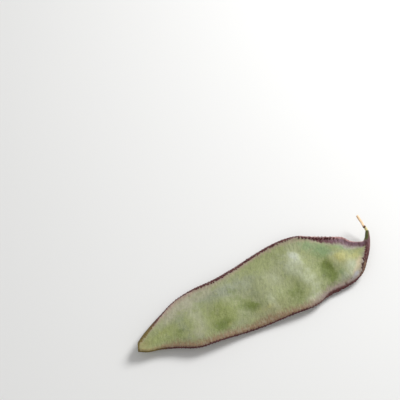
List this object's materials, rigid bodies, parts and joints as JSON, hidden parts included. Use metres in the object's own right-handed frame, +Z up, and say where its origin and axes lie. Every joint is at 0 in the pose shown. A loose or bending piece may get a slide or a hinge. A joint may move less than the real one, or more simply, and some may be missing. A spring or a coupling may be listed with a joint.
{
  "type": "hyacinth bean",
  "caption": "Flat green bean pod with dark warty sutures, a curved beak and a dried style, lying on its side.",
  "frame": {"origin": "middle of the flat spot that the pod rests on, under the third seed", "axes": "+X from the stem scar towards the beak, +Y towards the seed-bearing suture, +Z up"},
  "size_m": [0.1135, 0.0341, 0.0087],
  "materials": {
    "pod_skin": "matte, velvety",
    "dried_style": "matte, papery"
  },
  "bodies": {
    "root": {"pod": "pod_skin", "style": "dried_style"}
  },
  "joints": []
}
